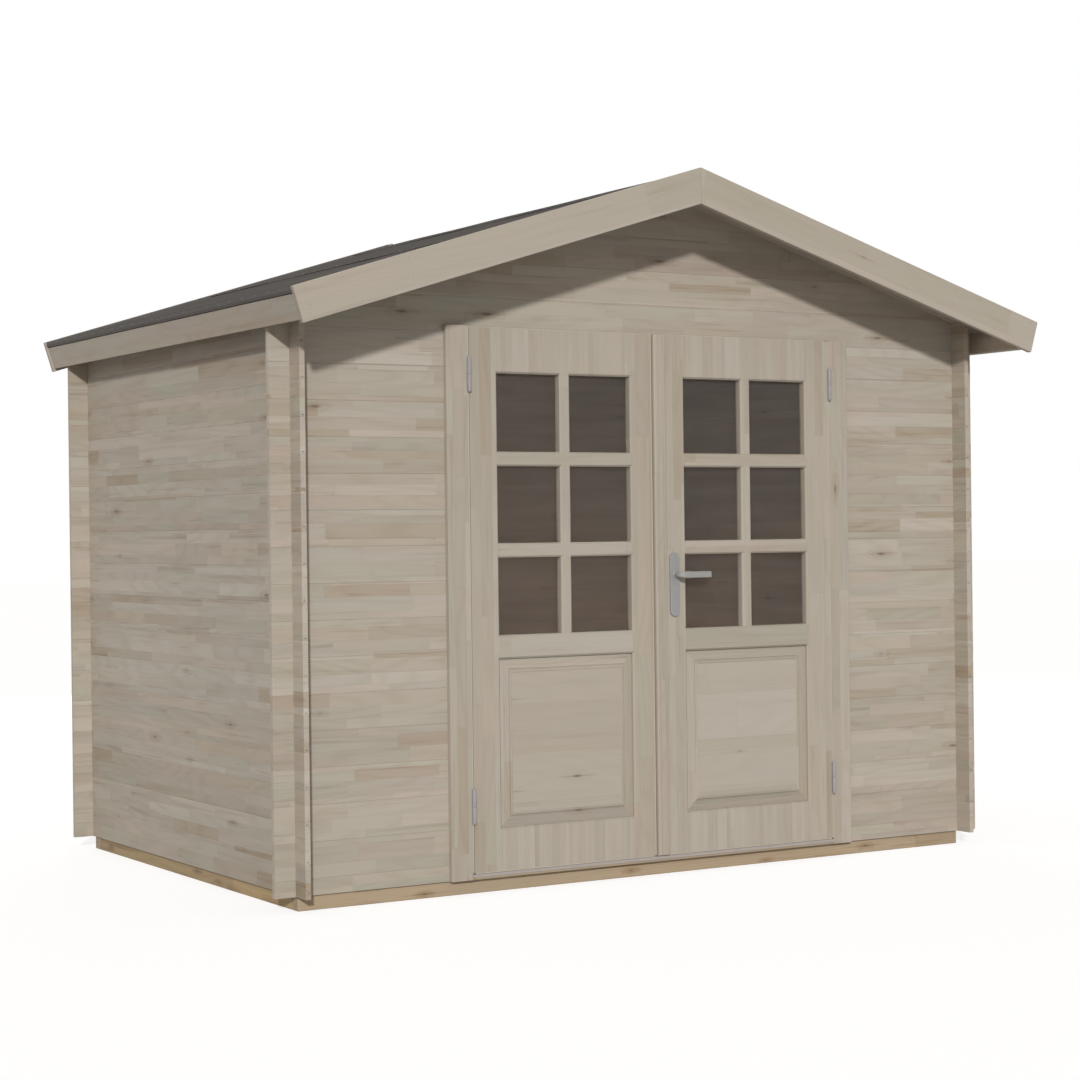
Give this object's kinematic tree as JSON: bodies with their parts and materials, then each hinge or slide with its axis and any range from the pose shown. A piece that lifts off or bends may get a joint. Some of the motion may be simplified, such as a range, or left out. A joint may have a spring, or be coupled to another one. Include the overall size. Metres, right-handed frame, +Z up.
{
  "type": "log cabin",
  "caption": "Small garden log cabin with a low gable roof and glazed double doors in its wide front wall.",
  "frame": {"origin": "centre of the whole part's outline, roof included, at the beams' underside", "axes": "+X along the front wall to the right as seen from outside the doors, +Y from the doors to the back wall, +Z up"},
  "size_m": [3.118, 2.34, 2.4908],
  "materials": {
    "beam_wood": "sawn, yellowish",
    "floor_wood": "planed",
    "log_wood": "planed, untreated",
    "roof_wood": "planed, untreated",
    "roof_felt": "matt mineral felt",
    "trim_wood": "planed, untreated",
    "frame_wood": "planed, untreated",
    "strip_metal": "mill finish",
    "hinge_metal": "zinc plated",
    "door_wood": "planed, untreated",
    "panel_wood": "planed, untreated",
    "pane_glass": "clear",
    "handle_metal": "satin"
  },
  "bodies": {
    "cabin": {"front_sill_beam": "beam_wood", "back_sill_beam": "beam_wood", "left_sill_beam": "beam_wood", "right_sill_beam": "beam_wood", "floor_joists": "beam_wood", "threshold_board": "beam_wood", "floor_deck": "floor_wood", "front_wall_left_logs": "log_wood", "front_wall_right_logs": "log_wood", "front_gable_logs": "log_wood", "back_wall_logs": "log_wood", "back_gable_logs": "log_wood", "left_wall_logs": "log_wood", "right_wall_logs": "log_wood", "ridge_purlin": "roof_wood", "side_purlins": "roof_wood", "left_roof_deck": "roof_wood", "right_roof_deck": "roof_wood", "left_roof_felt": "roof_felt", "right_roof_felt": "roof_felt", "front_left_bargeboard": "trim_wood", "front_right_bargeboard": "trim_wood", "back_left_bargeboard": "trim_wood", "back_right_bargeboard": "trim_wood", "left_fascia": "trim_wood", "right_fascia": "trim_wood", "left_door_post": "frame_wood", "right_door_post": "frame_wood", "door_head_stop": "frame_wood", "threshold_strip": "strip_metal", "left_post_hinges": "hinge_metal", "right_post_hinges": "hinge_metal"},
    "left_door": {"left_door_stiles": "door_wood", "left_door_rails": "door_wood", "left_door_panel": "panel_wood", "left_door_glass": "pane_glass", "left_door_hinges": "hinge_metal"},
    "right_door": {"right_door_stiles": "door_wood", "right_door_rails": "door_wood", "right_door_panel": "panel_wood", "right_door_glass": "pane_glass", "right_door_hinges": "hinge_metal", "meeting_strip": "door_wood", "handle_plates": "handle_metal"},
    "handle": {"handle_lever": "handle_metal"}
  },
  "joints": [
    {"name": "left_door_hinge", "type": "hinge", "parent": "cabin", "child": "left_door", "pos_m": [-0.7665, -0.877, 0], "axis": [0, 0, -1], "range_deg": [0, 110]},
    {"name": "right_door_hinge", "type": "hinge", "parent": "cabin", "child": "right_door", "pos_m": [0.7825, -0.877, 0], "axis": [0, 0, 1], "range_deg": [0, 110]},
    {"name": "handle_turn", "type": "hinge", "parent": "right_door", "child": "handle", "pos_m": [0.071, -0.87, 1.075], "axis": [0, 1, 0], "range_deg": [0, 40], "stiffness_Nm_per_rad": 1.5, "springref_deg": -20.05}
  ]
}
